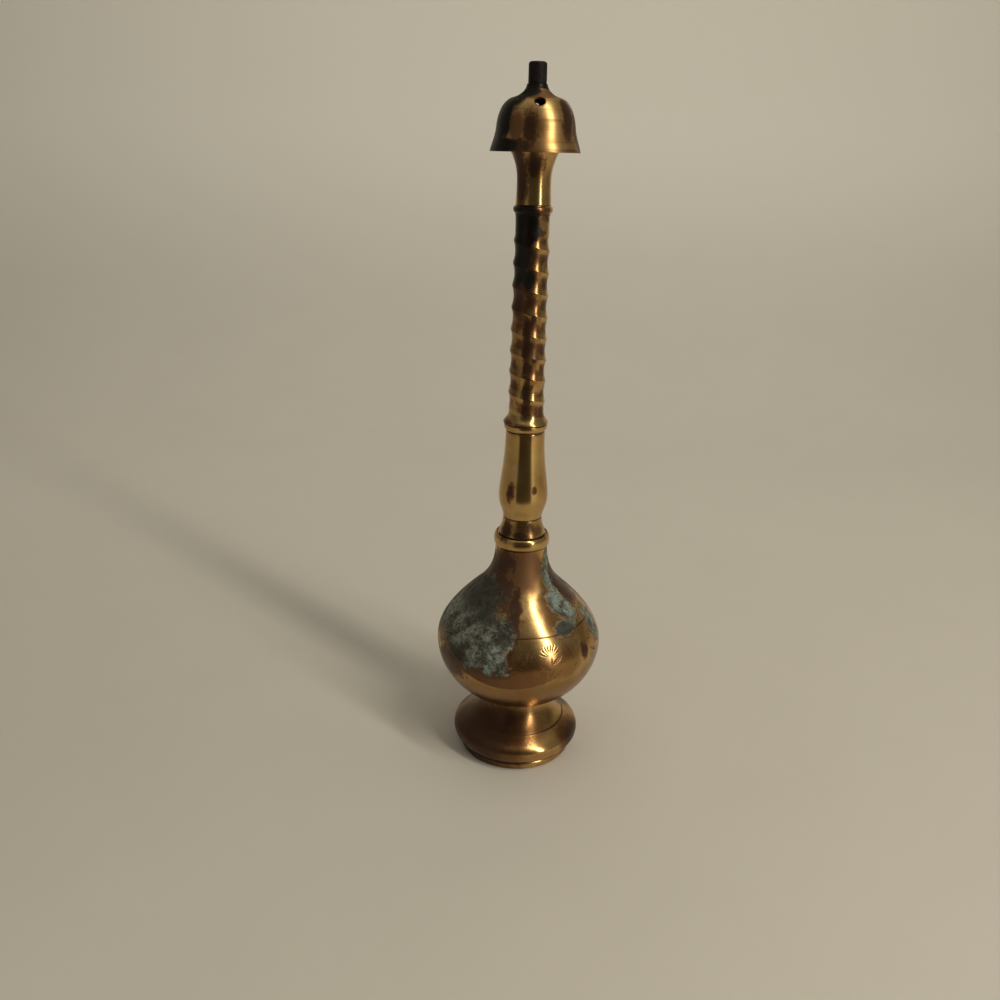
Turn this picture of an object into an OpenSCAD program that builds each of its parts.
// Rosewater sprinkler: a cast and turned brass flask on a bulging foot, with a tall
// spiral-fluted neck that screws into its mouth and a pierced bell that screws onto the neck.
// The axis is Z, the foot rests on Z = 0, and the single fluted crest is a left-hand screw.

/* [Foot] */
// Height from the table to the lowest point of the bowl
foot_h = 25.2; // [22:0.1:32]
// Radius of the foot's bulge
foot_bulge_r = 29.7; // [27.5:0.1:34]
// Height of the widest line of the bulge
foot_bulge_z = 8.9; // [8.4:0.1:10.5]
// Radius of the thin lip that stands on the table
foot_lip_r = 26.4; // [24:0.1:26.6]
// Height of the lip up to its groove
foot_lip_h = 3.3; // [2:0.1:3.6]
// Radius at the turned crease where the bulge meets the stem
foot_crease_r = 22.4; // [19:0.1:24]
// Height of the turned crease
foot_crease_z = 16.2; // [15.2:0.1:18]
// Radius of the stem where it meets the bowl
foot_stem_r = 15; // [12.5:0.1:17]
// Wall of the hollow foot
foot_wall = 2; // [1.5:0.1:2.6]
// Radius of the tenon that passes through the bowl
tenon_r = 5; // [3.5:0.1:6.5]
// Radius of the tenon's hammered head
tenon_head_r = 6.8; // [6.8:0.1:8]
// Outer radius of the washer under the tenon's head
foot_washer_r = 10; // [8.5:0.1:12]
// Thickness of the washer under the tenon's head
foot_washer_t = 1.4; // [1:0.1:2]

/* [Body] */
// Greatest radius of the body
body_r = 37.8; // [34:0.1:42]
// Depth of the bowl below the widest line
bowl_depth = 32.4; // [29:0.1:36]
// Height of the seam above the widest line
seam_rise = 14.4; // [10:0.1:18]
// Radius where the shoulder turns from round to hollow
shoulder_mid_r = 21.5; // [19:0.1:23]
// Height of that turn above the widest line
shoulder_mid_rise = 24.7; // [23:0.1:27]
// Height of the mouth above the widest line
shoulder_rise = 46.4; // [43.8:0.1:50]
// Outer radius of the body at the mouth
mouth_r = 11.7; // [11.3:0.1:12]
// Wall of the body
body_wall = 1.6; // [1.2:0.1:2]
// Depth of the shoulder's lip inside the bowl
seam_lap = 3; // [2:0.1:4]
// Thickness of the shoulder's lip
seam_lip_t = 1.2; // [0.8:0.1:1.6]
// Leg of the solder fillet under the lip
solder_leg = 0.9; // [0.5:0.1:1.4]

/* [Mouth] */
// Greatest radius of the half-round collar
collar_r = 12.4; // [12:0.1:13.5]
// Height of the collar
collar_h = 5.3; // [5:0.1:8]
// Outer radius of the bush inside the mouth
bush_r = 9.6; // [9.2:0.1:9.8]
// Length of the bush
bush_h = 13; // [10:0.1:14]
// Radius of the screw on the neck
neck_screw_r = 7.4; // [6.8:0.1:8]
// Length of the screw below the neck's flange
neck_screw_h = 10.5; // [8:0.1:12]
// Thickness of the leather washers
washer_t = 0.8; // [0.5:0.1:1.2]
// Outer radius of the neck's leather washer
neck_washer_r = 9.9; // [9.8:0.1:10.1]
// Depth of the washer's seat in the collar
washer_seat = 0.6; // [0.4:0.1:1]

/* [Neck] */
// Radius of the water passage
bore_r = 3.6; // [3.2:0.1:3.8]
// Radius of the spool's flange
spool_flange_r = 10.4; // [10.2:0.1:10.7]
// Radius of the spool's waist
spool_waist_r = 8.65; // [8.2:0.05:9]
// Height of the spool
spool_h = 8.1; // [7:0.1:10]
// Radius of the shank that joins screw, spool and baluster
shank_r = 6.2; // [5.6:0.1:6.5]
// Depth of the shank inside the baluster
shank_depth = 5.6; // [4:0.1:8]
// Greatest radius of the baluster
baluster_r = 10.8; // [10:0.1:12]
// Height of the baluster
baluster_h = 39.6; // [34:0.1:45]
// Height of the baluster's widest line above its foot
baluster_belly = 9.9; // [8:0.1:12]
// Radius at the top of the baluster
baluster_top_r = 8.4; // [8:0.1:9]
// Radius of the spigot that joins baluster, ring and stem
spigot_r = 5.2; // [4.9:0.1:5.3]
// Depth of a spigot inside the stem or the trumpet
spigot_depth = 5; // [4:0.1:7]
// Radius of the lower ring
lower_ring_r = 9.3; // [9:0.1:10]
// Height of the lower ring
lower_ring_h = 3.2; // [2.5:0.1:4.5]

/* [Fluted stem] */
// Height of the stem between its rings
stem_h = 85.2; // [70:0.1:95]
// Radius of the edge at the stem's foot
stem_edge_r = 9.6; // [9.4:0.1:10.5]
// Radius of the crest at the lower end
crest_low_r = 7.9; // [7.7:0.05:8.3]
// Radius of the crest at the upper end
crest_high_r = 7.25; // [7.1:0.05:7.6]
// Depth of the flute below its crest
flute_depth = 0.75; // [0.4:0.05:0.9]
// Climb of the crest in one turn
flute_pitch = 8.8; // [7.5:0.1:11]
// Length of the plain foot below the fluting
flute_start = 5; // [4:0.1:7]
// Length of the plain neck above the fluting
flute_stop = 5.6; // [4.5:0.1:8]
// Length over which the fluting fades at each end
flute_fade = 5; // [3:0.1:8]
// Direction of the crest where the fluting starts
flute_angle = 180; // [0:1:360]

/* [Trumpet] */
// Greatest radius of the upper ring
upper_ring_r = 7.85; // [7.5:0.05:8.5]
// Height of the upper ring
upper_ring_h = 3.6; // [3:0.1:4.5]
// Height of the trumpet
trumpet_h = 20; // [17:0.1:24]
// Radius at the foot of the trumpet
trumpet_foot_r = 7; // [6.9:0.05:7.3]
// Radius of the trumpet's waist
trumpet_waist_r = 6.7; // [6.5:0.05:6.9]
// Radius of the trumpet's top
trumpet_top_r = 9.4; // [9:0.1:9.8]
// Radius of the screw on top of the neck
head_screw_r = 5.2; // [4.9:0.1:5.3]
// Length of the screw above the trumpet
head_screw_h = 10.6; // [9:0.1:12]
// Depth of the screw's shank inside the trumpet
head_shank_depth = 9; // [7:0.1:10]

/* [Bell] */
// Radius of the bell's rim
bell_rim_r = 17.6; // [17:0.1:19]
// Radius of the bell where its wall is upright
bell_wall_r = 15.2; // [14.8:0.1:15.6]
// Height of the bell from its rim to the finial
bell_h = 24; // [23.5:0.1:26]
// Height of the upright part above the rim
bell_wall_rise = 9.2; // [8.5:0.1:10]
// Radius where the shoulder meets the cone
bell_crown_r = 9.6; // [9:0.1:10.2]
// Height of that edge above the rim
bell_crown_rise = 19.1; // [18.8:0.1:19.6]
// Wall of the bell
bell_wall = 1.5; // [1.2:0.1:1.8]
// Number of spray holes
hole_count = 4; // [3:1:6]
// Radius of a spray hole
hole_r = 2.2; // [1.2:0.1:2.2]
// Distance of the spray holes from the axis
hole_circle_r = 11.4; // [11.2:0.1:11.5]
// Depth of the middle of the spray holes below the edge of the cone
hole_drop = 1.6; // [1.5:0.1:1.7]
// Direction of the first spray hole
hole_angle = -84; // [-180:1:180]
// Outer radius of the socket inside the bell
socket_r = 8.6; // [8:0.1:9]
// Height of the socket
socket_h = 13; // [12.6:0.1:13.2]
// Height of the socket's brim
socket_brim_h = 2.4; // [1.8:0.1:3]
// Depth that the bell's rim hangs below the socket
bell_drop = 1.6; // [1.2:0.1:2]
// Outer radius of the head's leather washer
head_washer_r = 8.2; // [7:0.1:8.8]

/* [Finial] */
// Radius of the blackened stub
finial_r = 3.5; // [3:0.1:3.8]
// Height of the stub above the bell
finial_h = 7.6; // [5:0.1:14]
// Rounding of the stub's top edge
finial_round = 0.9; // [0.3:0.1:1.4]
// Radius of the stub's tenon
finial_tenon_r = 1.8; // [1.2:0.1:2.4]
// Depth of the tenon inside the bell
finial_tenon_h = 4.4; // [3:0.1:4.8]

/* [Fits] */
// Gap round the two screws
screw_gap = 0.05; // [0.03:0.01:0.1]
// Gap round spigots and tenons that stay joined
joint_gap = 0.03; // [0.02:0.01:0.06]
// Depth of the dark line left open between two parts
reveal = 0.2; // [0.1:0.05:0.4]

/* [Hidden] */

brass = [0.72, 0.52, 0.25];
old_brass = [0.55, 0.38, 0.18];
leather = [0.30, 0.18, 0.10];
solder = [0.62, 0.60, 0.52];
blackened = [0.10, 0.08, 0.07];

// Sides of each turned form, and of the fluted stem
turned_sides = 96;
stem_sides = 20;
// Points on one curve of an outline
steps = 10;
// Length by which a cutting shape runs past the face that it cuts
over = 1;
// Depth by which joined forms of one piece overlap
merge = 0.4;

// Heights from the table, stacked from the driving dimensions
widest_z = foot_h + bowl_depth;
seam_z = widest_z + seam_rise;
mouth_z = widest_z + shoulder_rise;
collar_top = mouth_z + collar_h;
bush_top = collar_top - washer_seat;
spool_z = bush_top + washer_t;
baluster_z = spool_z + spool_h;
lower_ring_z = baluster_z + baluster_h;
stem_z = lower_ring_z + lower_ring_h;
upper_ring_z = stem_z + stem_h;
trumpet_z = upper_ring_z + upper_ring_h;
trumpet_top = trumpet_z + trumpet_h;
socket_z = trumpet_top + washer_t;
bell_z = socket_z - bell_drop;
bell_top = bell_z + bell_h;
finial_top = bell_top + finial_h;

// A cubic curve through p[0] and p[3], its direction, and a row of points beside it.
// A positive distance lies to the left of the way the curve runs.
function curve(p, t) = pow(1 - t, 3) * p[0] + 3 * t * pow(1 - t, 2) * p[1]
    + 3 * t * t * (1 - t) * p[2] + pow(t, 3) * p[3];
function heading(p, t) = pow(1 - t, 2) * (p[1] - p[0]) + 2 * t * (1 - t) * (p[2] - p[1])
    + t * t * (p[3] - p[2]);
function left_of(v) = [-v[1], v[0]] / norm(v);
function along(p, distance = 0, count = steps, first = 0) =
    [for (i = [first:count]) curve(p, i / count) + distance * left_of(heading(p, i / count))];

module lathe(outline) {
    rotate_extrude($fn = turned_sides) polygon(outline);
}

module tube_cut(radius, low, high) {
    translate([0, 0, low]) cylinder(r = radius, h = high - low, $fn = turned_sides);
}

// Outline of the body, moved inwards by a distance: an oblate bowl, a round
// shoulder that turns hollow, and an upright mouth.
function bowl_point(angle, inward) =
    let (across = [cos(angle) / body_r, sin(angle) / bowl_depth])
    [body_r * cos(angle), widest_z + bowl_depth * sin(angle)] - inward * across / norm(across);
round_part = [[body_r, widest_z], [body_r, widest_z + 0.34 * shoulder_mid_rise],
    [shoulder_mid_r + 7, widest_z + shoulder_mid_rise - 6.5],
    [shoulder_mid_r, widest_z + shoulder_mid_rise]];
hollow_part = [[shoulder_mid_r, widest_z + shoulder_mid_rise],
    [shoulder_mid_r - 4.5, widest_z + shoulder_mid_rise + 4.2],
    [mouth_r, mouth_z - 12.5], [mouth_r, mouth_z - 1.2]];
function body_outline(inward, low_angle = -90) = concat(
    [for (i = [0:2 * steps]) bowl_point(low_angle * (1 - i / (2 * steps)), inward)],
    along(round_part, inward, steps, 1),
    along(hollow_part, inward, steps, 1));

// Everything inside the body's skin, moved inwards by a distance
module body_solid(inward) {
    lathe(concat([[0, foot_h + inward]],
        [for (p = body_outline(inward)) if (p[0] > 0.01) p],
        [[mouth_r - inward, mouth_z + over], [0, mouth_z + over]]));
}

module slab(low, high) {
    translate([0, 0, low]) cylinder(r = 2 * body_r, h = high - low, $fn = turned_sides);
}

bush_bottom = bush_top - bush_h;
bush_seat_r = bush_r + joint_gap;
tenon_seat_r = tenon_r + joint_gap;
top_spigot_r = spigot_r - 0.3;
head_base_z = foot_h + body_wall + foot_washer_t;
foot_roof = foot_crease_z - foot_wall + 3;

// Cast foot: a thin lip, a groove, a round bulge, a turned crease and a hollow stem,
// with a tenon on top that is hammered over a washer inside the bowl.
lip_curve = [[foot_lip_r - 0.9, 0], [foot_lip_r + 0.4, 0.1],
    [foot_lip_r + 0.3, foot_lip_h - 0.4], [foot_lip_r - 0.5, foot_lip_h]];
bulge_low = [[foot_lip_r, foot_lip_h + 0.5], [foot_lip_r + 1.4, foot_lip_h + 2],
    [foot_bulge_r, foot_bulge_z - 3], [foot_bulge_r, foot_bulge_z]];
bulge_rise = foot_crease_z - foot_bulge_z;
bulge_high = [[foot_bulge_r, foot_bulge_z], [foot_bulge_r, foot_bulge_z + 0.45 * bulge_rise],
    [foot_crease_r + 4.4, foot_crease_z - 0.4 * bulge_rise],
    [foot_crease_r + 0.5, foot_crease_z - 0.4]];
stem_curve = [[foot_crease_r, foot_crease_z], [foot_crease_r - 2.8, foot_crease_z + 1.8],
    [foot_stem_r + 1, foot_crease_z + 3.8], [foot_stem_r, foot_h + 2]];
foot_roof_curve = [[foot_crease_r - foot_wall + 1, foot_crease_z - foot_wall],
    [foot_crease_r - 6, foot_roof - 0.4], [5, foot_roof], [0, foot_roof]];

module foot() {
    color(brass) {
        difference() {
            lathe(concat(along(lip_curve), along(bulge_low), along(bulge_high, 0, steps, 1),
                along(stem_curve), [[foot_stem_r, foot_h + 3.6], [0, foot_h + 3.6]],
                [[0, foot_roof]],
                [for (i = [1:steps]) curve(foot_roof_curve, 1 - i / steps)],
                [for (i = [1:steps]) curve(bulge_high, 1 - i / steps)
                    + foot_wall * left_of(heading(bulge_high, 1 - i / steps))],
                [for (i = [1:steps]) curve(bulge_low, 1 - i / steps)
                    + foot_wall * left_of(heading(bulge_low, 1 - i / steps))],
                [[foot_lip_r - foot_wall - 0.6, 0]]));
            body_solid(-joint_gap);
        }
        tube_cut(tenon_r, foot_h - 3, head_base_z + merge);
        // The hammered head is a low dome
        lathe([[0, head_base_z + joint_gap], [tenon_head_r, head_base_z + joint_gap],
            [tenon_head_r - 0.2, head_base_z + 0.8], [tenon_head_r - 1.4, head_base_z + 1.7],
            [tenon_head_r - 3.4, head_base_z + 2.2], [0, head_base_z + 2.4]]);
    }
}

module foot_washer() {
    color(brass) difference() {
        intersection() {
            body_solid(body_wall + joint_gap);
            tube_cut(foot_washer_r, foot_h, head_base_z);
        }
        tube_cut(tenon_seat_r, foot_h - over, head_base_z + over);
    }
}

module bowl() {
    color(old_brass) difference() {
        intersection() {
            body_solid(0);
            slab(foot_h - over, seam_z);
        }
        body_solid(body_wall);
        tube_cut(tenon_seat_r, foot_h - over, head_base_z);
    }
}

module seam_solder() {
    color(solder) difference() {
        intersection() {
            body_solid(body_wall + joint_gap);
            slab(seam_z - seam_lap - solder_leg, seam_z - seam_lap - joint_gap);
        }
        body_solid(body_wall + solder_leg);
    }
}

// Upper half of the body, with a lip that drops inside the bowl and a mouth bored for the bush
module shoulder() {
    lip_outer = body_wall + joint_gap;
    lip_inner = lip_outer + seam_lip_t;
    color(old_brass) difference() {
        union() {
            intersection() {
                body_solid(0);
                slab(seam_z, mouth_z);
            }
            intersection() {
                body_solid(lip_outer);
                slab(seam_z - seam_lap, seam_z + merge);
            }
        }
        intersection() {
            body_solid(body_wall);
            slab(seam_z + seam_lap, bush_bottom);
        }
        intersection() {
            body_solid(lip_inner);
            slab(seam_z - seam_lap - over, seam_z + seam_lap + merge);
        }
        tube_cut(bush_seat_r, bush_bottom - merge, mouth_z + over);
    }
}

module mouth_bush() {
    color(brass) lathe([[neck_screw_r + screw_gap, bush_bottom], [bush_r, bush_bottom],
        [bush_r, bush_top], [neck_screw_r + screw_gap, bush_top]]);
}

// Half-round ring on the mouth, recessed on top for the leather washer
module collar() {
    seat_r = neck_washer_r + reveal;
    rim = [[mouth_r + 0.1, mouth_z + 0.3], [collar_r + 0.35, mouth_z + 0.12 * collar_h],
        [collar_r + 0.35, mouth_z + 0.95 * collar_h], [collar_r - 1.1, collar_top + 0.3]];
    color(brass) lathe(concat([[bush_seat_r, mouth_z], [mouth_r - 0.1, mouth_z]], along(rim),
        [[collar_r - 1.5, collar_top], [seat_r, collar_top], [seat_r, bush_top],
        [bush_seat_r, bush_top]]));
}

module neck_washer() {
    color(leather) lathe([[neck_screw_r + reveal, bush_top], [neck_washer_r, bush_top],
        [neck_washer_r, spool_z], [neck_screw_r + reveal, spool_z]]);
}

// Screw that holds the neck in the mouth, with a shank through the spool into the baluster
module neck_screw() {
    screw_low = spool_z - neck_screw_h;
    shank_top = baluster_z + shank_depth;
    color(brass) lathe([[bore_r, screw_low], [neck_screw_r - 0.8, screw_low],
        [neck_screw_r, screw_low + 0.8], [neck_screw_r, spool_z], [shank_r, spool_z],
        [shank_r, shank_top], [bore_r, shank_top]]);
}

module spool() {
    cavetto = [[spool_flange_r - 0.1, spool_z + 0.9], [spool_flange_r - 0.5, spool_z + 2.7],
        [spool_waist_r + 0.2, spool_z + 0.45 * spool_h], [spool_waist_r, baluster_z - 0.9]];
    color(brass) lathe(concat([[shank_r + joint_gap, spool_z], [spool_flange_r - 0.2, spool_z],
        [spool_flange_r, spool_z + 0.3], [spool_flange_r, spool_z + 0.6]], along(cavetto),
        [[spool_waist_r - reveal, baluster_z], [shank_r + joint_gap, baluster_z]]));
}

// Pear-shaped turning with a socket below and a spigot on top
module baluster() {
    low = [[spool_waist_r, baluster_z + 0.4], [spool_waist_r + 0.2, baluster_z + 3],
        [baluster_r, baluster_z + 0.55 * baluster_belly],
        [baluster_r, baluster_z + baluster_belly]];
    high = [[baluster_r, baluster_z + baluster_belly],
        [baluster_r, baluster_z + baluster_belly + 6],
        [baluster_top_r, baluster_z + 0.62 * baluster_h], [baluster_top_r, lower_ring_z - 0.7]];
    socket_r_here = shank_r + joint_gap;
    socket_top = baluster_z + shank_depth + joint_gap;
    spigot_top = stem_z + spigot_depth;
    color(brass) lathe(concat([[socket_r_here, baluster_z],
        [spool_waist_r - reveal, baluster_z]], along(low), along(high, 0, steps, 1),
        [[baluster_top_r - reveal, lower_ring_z], [spigot_r, lower_ring_z],
        [spigot_r, spigot_top], [bore_r, spigot_top], [bore_r, socket_top],
        [socket_r_here, socket_top]]));
}

module lower_ring() {
    edge = [[baluster_top_r, lower_ring_z + 0.2],
        [lower_ring_r - 0.1, lower_ring_z + 0.25 * lower_ring_h],
        [lower_ring_r, lower_ring_z + 0.5 * lower_ring_h],
        [lower_ring_r, stem_z - 0.35]];
    color(brass) lathe(concat([[spigot_r + joint_gap, lower_ring_z],
        [baluster_top_r - reveal, lower_ring_z]], along(edge),
        [[lower_ring_r - 0.4, stem_z], [spigot_r + joint_gap, stem_z]]));
}

// Fluted stem. Each ring of points lies one column's share of a turn above the last, so
// the sharp crest steps from column to column as one unbroken left-hand screw line.
// The flute fades out towards both ends.
flute_low = stem_z + flute_start;
flute_high = upper_ring_z - flute_stop;
flute_len = flute_high - flute_low;
ring_step = flute_pitch / stem_sides;
flute_rings = floor((flute_len - 0.1) / ring_step);
// How far the plain ends lie below the line of the crest
plain_drop = 0.5;
stem_low_r = crest_low_r - plain_drop;
stem_high_r = crest_high_r - plain_drop;
stem_foot_curve = [[stem_edge_r, stem_z + 0.5], [stem_edge_r - 0.6, stem_z + 1.8],
    [stem_low_r + 0.1, stem_z + 2.4], [stem_low_r, flute_low]];
stem_top_curve = [[stem_high_r, flute_high], [stem_high_r, flute_high + 0.5 * flute_stop],
    [stem_high_r + 0.05, upper_ring_z - 1], [trumpet_foot_r, upper_ring_z]];
foot_rings = concat([[stem_edge_r - 0.4, stem_z]], along(stem_foot_curve, 0, 8));
function ease(t) = let (s = min(1, max(0, t))) s * s * (3 - 2 * s);
function fade(z) = ease((z - flute_low) / flute_fade) * ease((flute_high - z) / flute_fade);
// Radius and height of each ring before the flute is cut
stem_rings = concat(foot_rings,
    [for (i = [1:flute_rings]) let (t = i * ring_step / flute_len)
        [stem_low_r + (stem_high_r - stem_low_r) * t, flute_low + flute_len * t]],
    along(stem_top_curve, 0, 5));
// Point j of ring i; its share of a turn from the crest counts from where the fluting starts
function stem_point(i, j) =
    let (ring = stem_rings[i],
        share = (i + 1 - len(foot_rings) + j + len(foot_rings) * stem_sides) % stem_sides
            / stem_sides,
        r = ring[0] + fade(ring[1]) * (plain_drop - flute_depth * 4 * share * (1 - share)),
        angle = flute_angle + 360 * j / stem_sides)
    [r * cos(angle), r * sin(angle), ring[1]];

module fluting() {
    n = stem_sides;
    last = len(stem_rings) - 1;
    polyhedron(
        points = [for (i = [0:last], j = [0:n - 1]) stem_point(i, j)],
        faces = concat([[for (j = [0:n - 1]) j]], [[for (j = [n - 1:-1:0]) last * n + j]],
            [for (i = [0:last - 1], j = [0:n - 1])
                [i * n + j, (i + 1) * n + j, i * n + (j + 1) % n]],
            [for (i = [0:last - 1], j = [0:n - 1])
                [i * n + (j + 1) % n, (i + 1) * n + j, (i + 1) * n + (j + 1) % n]]));
}

module fluted_stem() {
    spigot_top = trumpet_z + spigot_depth;
    color(brass) difference() {
        union() {
            fluting();
            tube_cut(top_spigot_r, upper_ring_z - over, spigot_top);
        }
        tube_cut(spigot_r + joint_gap, stem_z - over, stem_z + spigot_depth + joint_gap);
        tube_cut(bore_r, stem_z, spigot_top + over);
    }
}

module upper_ring() {
    foot_r = trumpet_foot_r + 0.1;
    bead_low = upper_ring_z + 0.5;
    bead_high = trumpet_z - 0.4;
    bead = [[foot_r, bead_low], [upper_ring_r + 0.25, bead_low + 0.3],
        [upper_ring_r + 0.25, bead_high - 0.3], [foot_r, bead_high]];
    color(brass) lathe(concat([[top_spigot_r + joint_gap, upper_ring_z],
        [foot_r - reveal, upper_ring_z]], along(bead),
        [[foot_r - reveal, trumpet_z], [top_spigot_r + joint_gap, trumpet_z]]));
}

// Plain waisted tube that flares under the bell
module trumpet() {
    low = [[trumpet_foot_r, trumpet_z], [trumpet_waist_r + 0.1, trumpet_z + 2],
        [trumpet_waist_r, trumpet_z + 0.25 * trumpet_h],
        [trumpet_waist_r, trumpet_z + 0.42 * trumpet_h]];
    high = [[trumpet_waist_r, trumpet_z + 0.42 * trumpet_h],
        [trumpet_waist_r, trumpet_z + 0.64 * trumpet_h],
        [trumpet_waist_r + 0.9, trumpet_z + 0.8 * trumpet_h],
        [trumpet_top_r, trumpet_top - 0.6]];
    low_socket = trumpet_z + spigot_depth + joint_gap;
    high_socket = trumpet_top - head_shank_depth - joint_gap;
    socket_wall = top_spigot_r + joint_gap;
    color(brass) lathe(concat([[socket_wall, trumpet_z]], along(low),
        along(high, 0, steps, 1), [[trumpet_top_r, trumpet_top], [socket_wall, trumpet_top],
        [socket_wall, high_socket], [bore_r, high_socket], [bore_r, low_socket],
        [socket_wall, low_socket]]));
}

module head_screw() {
    shank_low = trumpet_top - head_shank_depth;
    screw_top = trumpet_top + head_screw_h;
    color(brass) lathe([[bore_r, shank_low], [top_spigot_r, shank_low],
        [top_spigot_r, trumpet_top], [head_screw_r, trumpet_top],
        [head_screw_r, screw_top - 0.6], [head_screw_r - 0.6, screw_top], [bore_r, screw_top]]);
}

module head_washer() {
    color(leather) lathe([[head_screw_r + reveal, trumpet_top], [head_washer_r, trumpet_top],
        [head_washer_r, socket_z], [head_screw_r + reveal, socket_z]]);
}

// Outline of the bell from its rim to the finial, moved inwards by a distance
skirt = [[bell_rim_r, bell_z], [bell_rim_r - 0.7, bell_z + 3.1],
    [bell_wall_r + 0.4, bell_z + bell_wall_rise - 4], [bell_wall_r, bell_z + bell_wall_rise]];
bell_shoulder = [[bell_wall_r, bell_z + bell_wall_rise],
    [bell_wall_r - 0.3, bell_z + bell_wall_rise + 3.4],
    [bell_crown_r + 3.6, bell_z + bell_crown_rise - 1.1],
    [bell_crown_r, bell_z + bell_crown_rise]];
cone = [[bell_crown_r, bell_z + bell_crown_rise],
    [finial_r + 2.7, bell_z + bell_crown_rise + 0.8],
    [finial_r + 0.8, bell_top - 2.4], [finial_r + 0.35, bell_top]];

module bell_hollow() {
    roof = curve(bell_shoulder, 1) + bell_wall * left_of(heading(bell_shoulder, 1));
    lathe(concat([[0, bell_z - over], [bell_rim_r - 0.5, bell_z - over]],
        [[bell_rim_r - 0.5, bell_z]], along(skirt, bell_wall, steps, 2),
        along(bell_shoulder, bell_wall, steps, 1), [[0, roof[1]]]));
}

module spray_hole() {
    // A hole bored at 45 degrees through the shoulder, towards the chamber
    depth = 3 * bell_wall;
    translate([hole_circle_r, 0, bell_z + bell_crown_rise - hole_drop]) rotate([0, 45, 0])
        translate([0, 0, -depth]) cylinder(r = hole_r, h = 2 * depth, $fn = turned_sides / 2);
}

module bell() {
    color(old_brass) difference() {
        lathe(concat([[0, bell_z]], along(skirt), along(bell_shoulder, 0, steps, 1),
            along(cone, 0, steps, 1), [[0, bell_top]]));
        bell_hollow();
        for (i = [0:hole_count - 1]) {
            rotate([0, 0, hole_angle + i * 360 / hole_count]) spray_hole();
        }
        tube_cut(finial_tenon_r + joint_gap, bell_top - finial_tenon_h - joint_gap,
            bell_top + over);
    }
}

// Socket of the bell: a tube for the screw with a brim that closes the spray chamber
module head_socket() {
    brim_z = socket_z + socket_h - socket_brim_h;
    color(brass) difference() {
        union() {
            tube_cut(socket_r, socket_z, socket_z + socket_h);
            intersection() {
                lathe([[0, brim_z - 1.6], [socket_r - 0.1, brim_z - 1.6], [bell_wall_r, brim_z],
                    [bell_wall_r, socket_z + socket_h], [0, socket_z + socket_h]]);
                bell_inside();
            }
        }
        tube_cut(head_screw_r + screw_gap, socket_z - over, socket_z + socket_h + over);
    }
}

// Room inside the bell, less the gap of a joint
module bell_inside() {
    gap = bell_wall + joint_gap;
    lathe(concat([[0, bell_z]], along(skirt, gap, steps, 2),
        along(bell_shoulder, gap, steps, 1), [[0, bell_z + bell_crown_rise - gap]]));
}

module finial() {
    edge = [[finial_r, finial_top - finial_round],
        [finial_r, finial_top - 0.45 * finial_round],
        [finial_r - 0.45 * finial_round, finial_top], [finial_r - finial_round, finial_top]];
    color(blackened) lathe(concat([[0, bell_top - finial_tenon_h],
        [finial_tenon_r, bell_top - finial_tenon_h], [finial_tenon_r, bell_top],
        [finial_r, bell_top]], along(edge), [[0, finial_top + 0.1]]));
}

foot();
foot_washer();
bowl();
seam_solder();
shoulder();
mouth_bush();
collar();
neck_washer();
neck_screw();
spool();
baluster();
lower_ring();
fluted_stem();
upper_ring();
trumpet();
head_screw();
head_washer();
head_socket();
bell();
finial();
